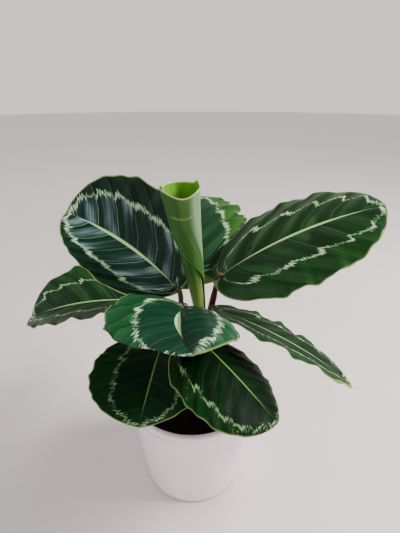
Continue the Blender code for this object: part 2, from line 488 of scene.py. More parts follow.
@dataclass(frozen=True)
class BladeFinish:
    """The painted pattern of an open leaf: a pale midrib, a pale feathered ring, and greens with a painted
    sheen band beside each vein.
    """

    deep: Colour = (0.0010, 0.014, 0.005)
    # Painted sheen: a lighter green laid beside each vein, standing in for the gloss and shade on the pleats.
    sheen_band: Colour = (0.006, 0.046, 0.020)
    outer: Colour = (0.003, 0.034, 0.010)
    # Painted sheen in the outer zone: this lighter green lies next to each vein and fades into the outer
    # green.
    outer_sheen: Colour = (0.010, 0.070, 0.020)
    ring: Colour = (0.42, 0.62, 0.36)
    rib: Colour = (0.36, 0.55, 0.24)
    rib_base: Colour = (0.16, 0.24, 0.06)
    margin: Colour = (0.20, 0.28, 0.09)
    bare: Colour = (0.26, 0.17, 0.08)
    under_dark: Colour = (0.050, 0.012, 0.018)
    under_light: Colour = (0.105, 0.030, 0.034)
    under_vein: Colour = (0.13, 0.07, 0.04)
    under_rib: Colour = (0.16, 0.15, 0.05)
    veins: float = 6.5
    vein_lean: float = 0.26
    vein_bow: float = 0.14
    ring_reach: float = 0.58
    ring_half: float = 0.028
    ring_step: float = 0.085
    feather: float = 0.26
    rib_half: float = 0.027
    rib_span: tuple[float, float, float, float] = (0.0, 0.50, 0.60, 0.98)
    rib_foot: float = 0.25
    # How strong the painted sheen bands beside the veins are.
    sheen_band_share: float = 1.0
    thread_share: float = 0.12
    wear: float = 0.0
    shine: float = 0.14
    dull: float = 0.28
    seed: float = 0.0

    def vein_place(self, bench: NodeBench, along: Socket, out: Socket) -> Socket:
        """The place along the midrib at which the side vein through a point leaves it."""
        lean = bench.scaled(out, self.vein_bow, self.vein_lean)
        return bench.scaled(bench.times(out, lean), -1.0, along)

    def edged(self, bench: NodeBench, paint: Socket, along: Socket, out: Socket,
              low: float, high: float) -> Socket:
        """Adds the thin pale margin, which starts at low and is full at high of the way out."""
        ends = bench.math("POWER", bench.size(bench.scaled(along, 2.0, -1.0)), END_ROUNDNESS)
        reach = bench.math("ADD", ends, bench.math("POWER", out, SIDE_ROUNDNESS))
        return bench.mix(bench.ease(reach, low, high, 0.0, 0.80), paint, self.margin)

    def beyond_ring(self, bench: NodeBench, along: Socket, out: Socket,
                    vein: Socket, phase: Socket) -> Socket:
        """How far a point lies outside the ring, which drifts out between veins and steps in at each."""
        length = bench.size(bench.scaled(along, 2.0, -1.02))
        length = bench.math("POWER", bench.math("DIVIDE", length, 0.93), 3.2)
        width = bench.math("POWER", bench.math("DIVIDE", out, self.ring_reach), 1.9)
        radius = bench.math("SQRT", bench.math("ADD", length, width))
        beyond = bench.times(bench.less(radius, 1.0), self.ring_reach)
        saw = bench.less(phase, bench.ease(phase, 0.66, 1.0))
        tall = bench.grain(bench.vector(bench.math("FLOOR", vein), 3.0, self.seed), 1.3, 0.0)
        tall = bench.ease(tall, 0.35, 0.65, -0.55 * self.ring_step, -1.25 * self.ring_step)
        return bench.scaled(bench.less(saw, 0.28), tall, beyond)

    def ring_share(self, bench: NodeBench, where: Socket, along: Socket, phase: Socket,
                   beyond: Socket, hairs: Socket, streaks: Socket) -> Socket:
        """How much of the ring's colour shows: a line of uneven width with feathered edges."""
        jag = bench.scaled(bench.centred(hairs), self.feather, beyond)
        jag = bench.scaled(bench.centred(streaks), 0.07, jag)
        swell = bench.times(bench.ease(phase, 0.45, 0.75), bench.ease(phase, 0.90, 1.0, 1.0, 0.25))
        patchy = bench.grain(where, 6.0, 1.0)
        half = bench.scaled(swell, 0.45, bench.ease(patchy, 0.35, 0.65, 0.25, 0.75))
        half = bench.times(half, bench.ease(along, 0.02, 0.16, 0.3, 1.0))
        half = bench.times(half, self.ring_half)
        return bench.ease(bench.less(bench.size(jag), half), -0.010, 0.006, 1.0, 0.0)

    def rib_share(self, bench: NodeBench, along: Socket, out: Socket, hairs: Socket) -> Socket:
        """How much of the midrib's colour shows."""
        begin, full, fade, stop = self.rib_span
        half = bench.ease(along, begin, full, self.rib_foot, 1.0)
        half = bench.times(half, bench.ease(along, fade, stop, 1.0, 0.0))
        half = bench.times(half, self.rib_half)
        edge = bench.less(bench.scaled(bench.centred(hairs), 0.012, out), half)
        return bench.ease(edge, -0.006, 0.003, 1.0, 0.0)

    def thread_share_at(self, bench: NodeBench, out: Socket, vein: Socket, phase: Socket) -> Socket:
        """How much of the pale side veins shows: some of them are faint, and all fade outwards."""
        from_vein = bench.math("MINIMUM", phase, bench.less(1.0, phase))
        thread = bench.ease(from_vein, 0.004, 0.020, 1.0, 0.0)
        nearest = bench.math("FLOOR", bench.math("ADD", vein, 0.5))
        faint = bench.grain(bench.vector(nearest, 0.0, self.seed), 1.7, 0.0)
        faint = bench.ease(faint, 0.38, 0.62, 0.05, self.thread_share)
        return bench.times(thread, bench.times(faint, bench.ease(out, 0.10, 0.80, 1.0, 0.2)))

    def inner_paint(self, bench: NodeBench, out: Socket, vein: Socket,
                    phase: Socket, streaks: Socket) -> Socket:
        """The greens inside the ring: a brushed band of painted sheen beside each vein on a deep ground."""
        uneven = bench.streaks(bench.times(vein, 0.8), bench.times(out, 1.5), self.seed + 5.0, 1.0)
        brush = bench.streaks(bench.times(vein, 60.0 / self.veins), out, self.seed + 9.0, 2.0, 0.6)
        # Painted sheen: lit is the share of the sheen colour, brightest just past each vein.
        lit = bench.times(bench.ease(phase, 0.0, 0.22), bench.ease(phase, 0.22, 0.85, 1.0, 0.0))
        lit = bench.times(lit, bench.ease(uneven, 0.36, 0.60, 0.15, 1.0))
        lit = bench.scaled(lit, bench.ease(brush, 0.30, 0.66, 0.25, 1.15), bench.scaled(streaks, 0.9, -0.42))
        lit = bench.times(lit, self.sheen_band_share)
        return bench.mix(bench.ease(lit, 0.0, 1.0), self.deep, self.sheen_band)

    def upper(self, name: str) -> bpy.types.Material:
        """The upper face.

        Args:
            name: the material's name.

        Returns:
            The material.
        """
        bench = NodeBench(name)
        along, signed, out = bench.place_on_leaf()
        right = bench.math("GREATER_THAN", signed, 0.0)
        drift = bench.grain(bench.vector(signed, along, self.seed), 3.0, 1.0)
        vein = bench.scaled(drift, 0.045, self.vein_place(bench, along, out))
        vein = bench.scaled(vein, self.veins, bench.scaled(right, SIDE_SHIFT, 20.0))
        phase = bench.math("FRACT", vein)
        streaks = bench.streaks(bench.times(vein, 4.0), bench.times(out, 1.3), self.seed, 3.0, 0.6)
        fine = bench.times(vein, 95.0 / self.veins)
        hairs = bench.streaks(fine, bench.times(out, 1.4), self.seed, 2.0, 0.7)

        beyond = self.beyond_ring(bench, along, out, vein, phase)
        patches = bench.vector(signed, along, self.seed + 3.0)
        ring = self.ring_share(bench, patches, along, phase, beyond, hairs, streaks)
        thread = self.thread_share_at(bench, out, vein, phase)

        # Painted sheen outside the ring: lighter next to each vein, fading into the outer green.
        outside = bench.ease(bench.scaled(bench.centred(streaks), 1.6, phase), 0.1, 1.0)
        outside = bench.mix(outside, self.outer_sheen, self.outer)
        inside = self.inner_paint(bench, out, vein, phase, streaks)
        paint = bench.mix(bench.ease(beyond, -0.02, 0.05), inside, outside)
        paint = bench.mix(bench.ease(hairs, 0.35, 0.75, 0.0, 0.30), paint, self.deep)
        paint = bench.mix(thread, paint, self.ring)
        # Some ring strokes take up to 30% of the painted sheen colour.
        pale = bench.mix(bench.ease(hairs, 0.3, 0.7, 0.0, 0.30), self.ring, self.sheen_band)
        paint = bench.mix(bench.times(ring, 0.95), paint, pale)
        rib_paint = bench.mix(bench.ease(along, 0.02, 0.30), self.rib_base, self.rib)
        paint = bench.mix(self.rib_share(bench, along, out, hairs), paint, rib_paint)
        paint = self.edged(bench, paint, along, out, 0.950, 0.985)
        if self.wear > 0.0:
            spots = bench.grain(bench.vector(signed, along, self.seed + 7.0), 16.0, 2.0, 0.6)
            worn = bench.ease(spots, 0.70 - 0.1 * self.wear, 0.74 - 0.1 * self.wear)
            worn = bench.times(worn, bench.ease(beyond, -0.16, -0.02, 0.0, 1.0))
            paint = bench.mix(bench.times(worn, 0.8), paint, self.bare)
        bench.colour(paint)
        bench.roughness(bench.scaled(ring, 0.12, bench.scaled(streaks, 0.16, self.dull)))
        bench.relief(bench.scaled(thread, -0.5, bench.times(hairs, 0.7)), 0.00016, 0.8)
        bench.set(IOR=1.45, Specular_IOR_Level=self.shine)
        return bench.material

    def under(self, name: str) -> bpy.types.Material:
        """The under face: dull red-brown with a paler midrib.

        Args:
            name: the material's name.

        Returns:
            The material.
        """
        bench = NodeBench(name)
        along, _, out = bench.place_on_leaf()
        vein = bench.scaled(self.vein_place(bench, along, out), self.veins, 20.0)
        phase = bench.math("FRACT", vein)
        hairs = bench.streaks(bench.times(vein, 12.0), bench.times(out, 2.0), self.seed, 3.0, 0.6)
        from_vein = bench.math("MINIMUM", phase, bench.less(1.0, phase))
        paint = bench.mix(bench.ease(hairs, 0.3, 0.7), self.under_dark, self.under_light)
        paint = bench.mix(bench.ease(from_vein, 0.01, 0.06, 0.5, 0.0), paint, self.under_vein)
        paint = bench.mix(bench.ease(out, 0.015, 0.045, 0.8, 0.0), paint, self.under_rib)
        paint = self.edged(bench, paint, along, out, 0.94, 0.98)
        bench.colour(paint)
        bench.roughness(bench.scaled(hairs, 0.15, 0.45))
        bench.relief(hairs, 0.0002, 0.6)
        bench.set(Specular_IOR_Level=0.2)
        return bench.material


@dataclass(frozen=True)
class YoungFinish:
    """The rolled leaf: yellow-green outside with a painted pale sheen beside its midrib, fresh green inside.
    """

    outside: Colour = (0.050, 0.140, 0.026)
    shade: Colour = (0.026, 0.088, 0.016)
    # Painted sheen: the pale grey-green highlight on the roll's outside, beside the midrib.
    roll_sheen: Colour = (0.230, 0.330, 0.210)
    yellow: Colour = (0.260, 0.340, 0.070)
    inside: Colour = (0.060, 0.230, 0.008)
    inside_light: Colour = (0.110, 0.300, 0.016)
    rim: Colour = (0.42, 0.50, 0.22)

    def build(self, name: str, face: Face) -> bpy.types.Material:
        """One face of the rolled leaf.

        Args:
            name: the material's name.
            face: UPPER is the inside of the roll and UNDER the outside.

        Returns:
            The material.
        """
        bench = NodeBench(name)
        along, signed, out = bench.place_on_leaf()
        lengthwise = bench.streaks(bench.times(signed, 14.0), bench.times(along, 1.6), 0.0, 3.0, 0.6)
        fine = bench.streaks(bench.times(signed, 60.0), bench.times(along, 4.0), 0.0, 2.0)
        if face is Face.UPPER:
            paint = bench.mix(bench.ease(lengthwise, 0.3, 0.7), self.inside, self.inside_light)
        else:
            paint = bench.mix(bench.ease(lengthwise, 0.40, 0.62), self.outside, self.shade)
            # Painted sheen: the pale streaked highlight beside the midrib on the roll's outside.
            near_midrib = bench.ease(bench.scaled(along, 0.10, signed), 0.42, 0.54, 1.0, 0.0)
            near_midrib = bench.times(near_midrib, bench.ease(signed, 0.0, 0.05))
            near_midrib = bench.times(near_midrib, bench.ease(fine, 0.25, 0.7, 0.35, 0.95))
            paint = bench.mix(near_midrib, paint, self.roll_sheen)
            paint = bench.mix(bench.ease(along, 0.0, 0.50, 0.75, 0.0), paint, self.yellow)
            crease = bench.size(bench.scaled(signed, 0.09, bench.less(along, 0.905)))
            crease = bench.times(bench.ease(crease, 0.003, 0.012, 0.40, 0.0), bench.ease(signed, 0.26, 0.40))
            crease = bench.times(crease, bench.ease(signed, 0.66, 0.80, 1.0, 0.0))
            paint = bench.mix(crease, paint, self.yellow)
        paint = bench.mix(bench.ease(out, 0.975, 0.995, 0.0, 0.8), paint, self.yellow)
        paint = bench.mix(bench.ease(along, 0.988, 0.997, 0.0, 0.8), paint, self.rim)
        bench.colour(paint)
        bench.roughness(bench.scaled(lengthwise, 0.15, 0.33))
        bench.relief(fine, 0.00018, 0.7)
        bench.set(Specular_IOR_Level=0.25, Subsurface_Weight=0.10, Subsurface_Scale=0.002)
        return bench.material


@dataclass(frozen=True)
class StalkFinish:
    """A leaf stalk: red-brown or green, with fine ridges along it and a paler joint below the blade."""

    low: Colour = (0.050, 0.060, 0.018)
    high: Colour = (0.060, 0.010, 0.013)
    joint: Colour = (0.055, 0.022, 0.013)

    def build(self, name: str) -> bpy.types.Material:
        """The stalk's material.

        Args:
            name: the material's name.

        Returns:
            The material.
        """
        bench = NodeBench(name)
        turn, along, _ = bench.parts(bench.map_place("stem"))
        angle = bench.times(turn, 2 * math.pi)
        around = bench.vector(bench.math("COSINE", angle), bench.math("SINE", angle), bench.times(along, 1.5))
        ridges = bench.grain(around, 6.0, 2.0)
        mottle = bench.grain(around, 2.5, 2.0)
        paint = bench.mix(bench.ease(along, 0.15, 0.60), self.low, self.high)
        paint = bench.mix(bench.ease(mottle, 0.45, 0.75, 0.0, 0.5), paint, self.low)
        paint = bench.mix(bench.ease(along, 0.86, 0.92), paint, self.joint)
        bench.colour(paint)
        bench.roughness(bench.scaled(mottle, 0.2, 0.32))
        bench.relief(ridges, 0.0003, 0.6)
        return bench.material


@dataclass(frozen=True)
class PotFinish:
    """Glossy white moulded plastic with a very fine orange peel, a faint grey mottle and painted shade at the
    foot.
    """

    white: Colour = (0.90, 0.815, 0.895)
    # A grey used both for a faint mottle and for the painted shade at the foot.
    dust_and_shade: Colour = (0.52, 0.49, 0.49)

    def build(self, name: str) -> bpy.types.Material:
        """The pot's material.

        Args:
            name: the material's name.

        Returns:
            The material.
        """
        bench = NodeBench(name)
        where = bench.place()
        cloud = bench.grain(where, 25.0, 3.0)
        peel = bench.grain(where, 700.0, 1.0)
        # Painted shade: the lowest 4 mm darken towards the grey, standing in for the shade at the foot.
        foot = bench.ease(bench.parts(where)[2], 0.0008, 0.0040, 0.75, 0.0)
        paint = bench.mix(bench.ease(cloud, 0.4, 0.8, 0.0, 0.12), self.white, self.dust_and_shade)
        paint = bench.mix(foot, paint, self.dust_and_shade)
        bench.colour(paint)
        bench.roughness(bench.scaled(cloud, 0.12, 0.14))
        bench.relief(peel, 0.00003, 0.5)
        bench.set(IOR=1.5, Coat_Weight=0.5, Coat_Roughness=0.05)
        bench.set(Subsurface_Weight=0.10, Subsurface_Scale=0.004)
        return bench.material


@dataclass(frozen=True)
class SoilFinish:
    """Damp peat: nearly black, with brown fibres."""

    black: Colour = (0.0035, 0.0024, 0.0020)
    brown: Colour = (0.014, 0.009, 0.006)
    fibre: Colour = (0.040, 0.026, 0.016)

    def build(self, name: str) -> bpy.types.Material:
        """The soil's material.

        Args:
            name: the material's name.

        Returns:
            The material.
        """
        bench = NodeBench(name)
        where = bench.place()
        lumps = bench.grain(where, 260.0, 4.0, 0.65)
        fibres = bench.grain(where, 900.0, 3.0, 0.6)
        paint = bench.mix(bench.ease(lumps, 0.45, 0.72), self.black, self.brown)
        paint = bench.mix(bench.ease(fibres, 0.64, 0.72, 0.0, 0.4), paint, self.fibre)
        bench.colour(paint)
        bench.roughness(bench.scaled(lumps, 0.2, 0.78))
        bench.relief(fibres, 0.0006, 0.9)
        bench.set(Specular_IOR_Level=0.15)
        return bench.material


# ---------------------------------------------------------------------------
# The plant


@dataclass(frozen=True)
class StalkRoute:
    """How one stalk runs from the soil to its blade, as in the frame."""

    root: Pair
    lean: Pair
    leave: float
    arrive: float
    follow: float


@dataclass
class OpenLeaf:
    """One open leaf: its midrib, its two halves and its finish. Metres and degrees."""

    place: str
    base: Triple
    heading: float
    pitch: float
    length: float
    width: float
    finish: BladeFinish
    sweep: float = 0.0
    droop: float = 0.0
    roll: float = 0.0
    twist: float = 0.0
    fold: Pair = (0.0, 0.0)
    curl: Pair = (0.0, 0.0)
    ripple: float = 0.0022
    ripples: float = 4.5
    taper: Pair = (0.0, 0.0)
    ears: Pair = (0.003, 0.003)
    ragged: float = 0.0
    pleat: float = 0.00022
    groove_depth: float = 0.00030
    groove_width: float = 0.0012
    keel_depth: float = 0.0015
    keel_width: float = 0.0015
    thickness: float = 0.0006
    rows: int = 132
    columns: int = 46

    def outline(self, share: np.ndarray) -> np.ndarray:
        """Half the width along the leaf, as a part of the widest half: round ends and a short tip."""
        from_middle = np.clip(np.abs(2 * share - 1), 0.0, 1.0)
        body = (1 - from_middle**END_ROUNDNESS) ** SIDE_POWER
        tip = 0.16 * np.clip((1.0 - share) / 0.075, 0.0, 1.0) ** 0.9 * (share > 0.9)
        return np.maximum(np.maximum(body * (1 - 0.10 * smooth(share, 0.93, 1.0)), tip), 0.012)

    def spine(self, share: np.ndarray) -> tuple[np.ndarray, np.ndarray, np.ndarray, np.ndarray]:
        """The midrib and the blade's own directions along it.

        Args:
            share: places along the midrib, from 0 to 1, evenly spaced.

        Returns:
            The points, and the directions along the midrib, to its right side and up.
        """
        pitch = np.radians(self.pitch - self.droop * share)
        heading = np.radians(self.heading + self.sweep * share)
        roll = np.radians(self.roll + self.twist * share)
        level_part = np.cos(pitch)
        along = np.stack([level_part * np.cos(heading), level_part * np.sin(heading), np.sin(pitch)], axis=1)
        level = np.stack([np.sin(heading), -np.cos(heading), np.zeros_like(heading)], axis=1)
        above = np.cross(level, along)
        side = level * np.cos(roll)[:, None] + above * np.sin(roll)[:, None]
        up = above * np.cos(roll)[:, None] - level * np.sin(roll)[:, None]
        step = (share[1] - share[0]) * self.length
        steps = (along[1:] + along[:-1]) * step / 2
        points = np.array(self.base) + np.vstack([np.zeros(3), np.cumsum(steps, axis=0)])
        return points, along, side, up

    def shape(self) -> SheetMesh:
        """The blade as a closed sheet, with pleats along its side veins and a grooved midrib.

        Returns:
            The sheet.
        """
        share = np.linspace(0.0, 1.0, self.rows + 1)
        even = np.linspace(-1.0, 1.0, 2 * self.columns + 1)
        across = even * (0.6 + 0.4 * even**2)
        points, along, side, up = self.spine(share)
        t, v = np.meshgrid(share, across, indexing="ij")
        out = np.abs(v)
        right = v > 0
        reach = self.outline(t) * (1 - np.where(right, self.taper[1], self.taper[0]) * smooth(t, 0.6, 1.0))
        fold = np.radians(np.where(right, self.fold[1], self.fold[0]))
        curl = np.radians(np.where(right, self.curl[1], self.curl[0]))
        curl = np.where(np.abs(curl) < 1e-4, 1e-4, curl)
        half = self.width / 2 * reach
        end = fold + curl * out
        sideways = half * (np.sin(end) - np.sin(fold)) / curl
        upward = half * (np.cos(fold) - np.cos(end)) / curl
        wave = np.sin(2 * math.pi * self.ripples * t + 2.1 * right)
        wave += 0.35 * np.sin(2 * math.pi * self.ripples * 2.3 * t + 1.3 + 1.7 * right)
        upward = upward + self.ripple * wave * out**3 * np.sin(math.pi * t)
        body = reach * out
        vein = (t - body * (self.finish.vein_lean + self.finish.vein_bow * body)) * self.finish.veins
        vein = vein + np.where(right, SIDE_SHIFT, 0.0)
        shut = smooth(out, 0.0, 0.15) * (1 - smooth(out, 0.93, 1.0)) * smooth(reach, 0.1, 0.5)
        ridge = 1 - 2 * np.abs(np.mod(vein, 1.0) - 0.5)
        upward = upward + self.pleat * shut * (smooth(ridge, 0.0, 1.0) - 0.5) * 2
        scallop = 1 + 0.012 * np.cos(2 * math.pi * vein) * smooth(out, 0.6, 1.0)
        teeth = np.maximum(0.0, np.sin(2 * math.pi * 9.0 * t + 1.0) * np.sin(2 * math.pi * 3.7 * t + 0.4))
        scallop = scallop * (1 - self.ragged * right * teeth * smooth(out, 0.7, 1.0))
        sideways = sideways * scallop * np.where(right, 1.0, -1.0)
        back = -np.where(right, self.ears[1], self.ears[0]) * smooth(out, 0.05, 0.9)
        back = back * (1 - smooth(t, 0.0, 0.22))
        middle = points[:, None] + side[:, None] * sideways[..., None] + up[:, None] * upward[..., None]
        middle = middle + (along[:, None] * back[..., None])
        normal = grid_normals(middle)
        facing = np.sum(normal * up[:, None], axis=2, keepdims=True)
        normal = normal * np.where(np.sum(facing) < 0, -1.0, 1.0)
        beside = half * out
        groove = self.groove_depth * np.exp(-((beside / self.groove_width) ** 2))
        keel = self.keel_depth * np.exp(-((beside / self.keel_width) ** 2)) * (1 - 0.8 * t)
        thin = self.thickness * (1 - 0.65 * smooth(out, 0.85, 1.0))
        upper = middle + normal * (thin / 2 - groove)[..., None]
        under = middle - normal * (thin / 2 + keel * smooth(reach, 0.02, 0.3))[..., None]
        return SheetMesh(upper, under, reach * v, t)

    def stalk_line(self, count: int = 60) -> np.ndarray:
        """The stalk's middle line, from below the soil to the blade's base."""
        _, along, _, up = self.spine(np.linspace(0.0, 1.0, 3))
        return route_line(ROUTES[self.place], np.array(self.base), along[0], count)

    def build(self) -> None:
        """Builds the blade and its stalk, and dresses both."""
        blade = Piece("blade_" + self.place, ("leaf_" + self.place,), Slot.LEAF)
        upper = self.finish.upper("blade_upper_" + self.place)
        faces = [upper, self.finish.under("blade_under_" + self.place)]
        blade.settle(self.shape().build(blade.name), faces)
        stalk = Piece("stalk_" + self.place, ("petiole_" + self.place,), Slot.STALK)
        line = self.stalk_line()
        skin = StalkFinish().build("stalk_" + self.place)
        stalk.settle(Stem(line, stalk_radii(line)).build(stalk.name), [skin])


def route_line(route: StalkRoute, end: np.ndarray, direction: np.ndarray, count: int) -> np.ndarray:
    """A stalk's middle line: upright at the soil and turning towards its blade.

    Args:
        route: how it runs.
        end: where the blade begins.
        direction: the blade's own direction there.
        count: how many points the line has.

    Returns:
        The points, the last few of them inside the blade's keel.
    """
    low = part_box("soil")[1][2] - ROOT_DEPTH
    start = np.array([route.root[0], route.root[1], low])
    stop = end - direction * JOINT_GAP
    reach = np.linalg.norm(stop - start)
    leaving = np.array([route.lean[0], route.lean[1], 1.0])
    leaving *= reach * route.leave / np.linalg.norm(leaving)
    arriving = direction * route.follow + np.array([0.0, 0.0, 1.0 - route.follow])
    arriving *= reach * route.arrive / np.linalg.norm(arriving)
    t = np.linspace(0.0, 1.0, count)[:, None]
    line = (
        start * (2 * t**3 - 3 * t**2 + 1)
        + leaving * (t**3 - 2 * t**2 + t)
        + stop * (3 * t**2 - 2 * t**3)
        + arriving * (t**3 - t**2)
    )
    bend = arriving / np.linalg.norm(arriving)
    joint = [stop + (bend * (1 - s) + direction * s) * JOINT_LENGTH * s for s in (0.35, 0.7, 1.0)]
    return np.vstack([line, joint])


def stalk_radii(line: np.ndarray) -> np.ndarray:
    """A stalk's radii: a wide sheath below, a slim middle and a swollen joint under the blade."""
    length = np.concatenate([[0.0], np.cumsum(np.linalg.norm(np.diff(line, axis=0), axis=1))])
    from_top = length[-1] - length
    radii = STALK_RADIUS + SHEATH_SWELL * smooth(from_top, 0.008, 0.035)
    radii += JOINT_SWELL * np.exp(-((from_top - 0.009) / 0.005) ** 2)
    return radii * (1 - 0.35 * np.exp(-(from_top / 0.002)))


@dataclass
class RolledLeaf:
    """The new leaf: one sheet wound into a funnel, its right half outside."""

    base: Triple = (0.0105, -0.003, 0.200)
    top: Triple = (-0.008, -0.015, 0.3445)
    base_radius: float = 0.0044
    top_radius: float = 0.0155
    spread: float = 0.22
    midrib_angle: float = 30.0
    tip_drop: float = 0.050
    thickness: float = 0.0005
    rows: int = 120
    columns: int = 210
    finish: YoungFinish = field(default_factory=YoungFinish)
    route: StalkRoute = StalkRoute((-0.0067, -0.0096), (-0.11, 0.08), 0.73, 0.61, 0.67)

    def shape(self) -> SheetMesh:
        """The rolled sheet.

        Returns:
            The sheet: its upper face is the inside of the roll.
        """
        lengthwise = np.linspace(0, 1, self.rows + 1)
        share, position = np.meshgrid(lengthwise, np.linspace(-1, 1, self.columns + 1), indexing="ij")
        outer = 25 + 205 * smooth(share, 0.26, 0.84)
        inner = 335 - 85 * share
        turn = position * np.where(position > 0, outer, inner)
        height = share * (1 - self.tip_drop * np.exp(-((turn - 115) / 48) ** 2) * share)
        height = height - 0.10 * smooth(share, 0.7, 1.0) * smooth(-turn, 150, 215)
        height = height + 0.022 * smooth(share, 0.8, 1.0) * np.exp(-((turn - 4) / 13) ** 2)
        radius = self.base_radius + (self.top_radius - self.base_radius) * height
        radius = radius * (1 + self.spread * turn / 360)
        radius = radius * (1 + 0.035 * smooth(share, 0.88, 1.0))
        radius = radius + 0.00035 * np.sin(np.radians(turn) * 3 + 5 * share) * smooth(share, 0.3, 0.9)
        angle = np.radians(self.midrib_angle - turn)
        base, top = np.array(self.base), np.array(self.top)
        centre = base + (top - base) * height[..., None]
        away = np.stack([np.cos(angle), np.sin(angle), np.zeros_like(angle)], axis=2)
        middle = centre + away * radius[..., None]
        normal = grid_normals(middle)
        inward = -1.0 if np.sum(normal * away) > 0 else 1.0
        normal = normal * inward
        offset = normal * self.thickness / 2
        return SheetMesh(middle + offset, middle - offset, position, share)

    def build(self) -> None:
        """Builds the roll and its stalk, and dresses both."""
        blade = Piece("blade_rolled", ("leaf_rolled",), Slot.YOUNG)
        faces = [self.finish.build("roll_inside", Face.UPPER), self.finish.build("roll_outside", Face.UNDER)]
        blade.settle(self.shape().build(blade.name), faces)
        stalk = Piece("stalk_rolled", ("petiole_rolled",), Slot.YOUNG)
        base, top = np.array(self.base), np.array(self.top)
        direction = (top - base) / np.linalg.norm(top - base)
        line = route_line(self.route, base, direction, 60)
        line = np.vstack([line[:-3], [base + direction * s for s in (0.0, 0.004, 0.010, 0.016)]])
        radii = np.full(len(line), 0.0021)
        radii[-6:] = (0.0023, 0.0027, 0.0031, 0.0034, 0.0034, 0.0028)
        skin = StalkFinish(low=(0.09, 0.12, 0.03), high=(0.20, 0.27, 0.06), joint=(0.24, 0.31, 0.08))
        stalk.settle(Stem(line, radii).build(stalk.name), [skin.build("stalk_rolled")])


@dataclass
class Pot:
    """The tapered pot, turned about the z axis."""

    wall: float = 0.006
    floor: float = 0.005
    foot: float = 0.054
    foot_rounding: float = 0.002
    step_depth: float = 0.0011
    step_below: float = 0.0075
    step_height: float = 0.0008
    around: int = 144

    def profile(self) -> list[Pair]:
        """The pot's outline as radius and height: over the inside, the rim and the outside.

        Returns:
            The points, from the axis back to the axis.
        """
        low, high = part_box("pot")
        height = high[2]
        top = (high[0] - low[0]) / 2
        round_foot, half_wall = self.foot_rounding, self.wall / 2

        def outside(level: float) -> float:
            """The outer radius at a height."""
            return self.foot + (top - self.foot) * level / height

        def arc(radius: float, level: float, size: float, angles: range) -> list[Pair]:
            """Points of an arc about a centre, at angles in degrees."""
            turns = [math.radians(angle) for angle in angles]
            return [(radius + size * math.cos(turn), level + size * math.sin(turn)) for turn in turns]

        corner = outside(self.floor) - self.wall - round_foot
        low_inside = self.floor + round_foot
        points = [(0.0, self.floor), *arc(corner, low_inside, round_foot, range(-90, 1, 15))]
        for i in range(1, 12):
            level = low_inside + (height - half_wall - low_inside) * i / 12
            points.append((outside(level) - self.wall, level))
        points += arc(outside(height) - half_wall, height - half_wall, half_wall, range(180, -1, -15))
        lip = height - self.step_below  # the rim's lower edge, where the wall steps in
        points += [(outside(level), level) for level in (lip + self.step_height, lip)]
        below = lip - 0.75 * self.step_height
        for i in range(24):
            level = below - (below - round_foot) * i / 23
            points.append((outside(level) - self.step_depth * (1 - i / 23), level))
        points += arc(self.foot - round_foot, round_foot, round_foot, range(-15, -91, -15))
        return [*points, (0.0, 0.0)]

    def build(self) -> None:
        """Turns the profile into the pot and dresses it."""
        piece = Piece("pot_body", ("pot",), Slot.POT)
        shape = bmesh.new()
        verts = [shape.verts.new((radius, 0.0, level)) for radius, level in self.profile()]
        edges = [shape.edges.new(pair) for pair in zip(verts, verts[1:])]
        bmesh.ops.spin(shape, geom=verts + edges, cent=(0, 0, 0), axis=(0, 0, 1), angle=2 * math.pi,
                       steps=self.around, use_merge=True)
        bmesh.ops.remove_doubles(shape, verts=shape.verts, dist=1e-6)
        bmesh.ops.recalc_face_normals(shape, faces=shape.faces)
        piece.settle(finished(shape, piece.name), [PotFinish().build("pot_gloss")])


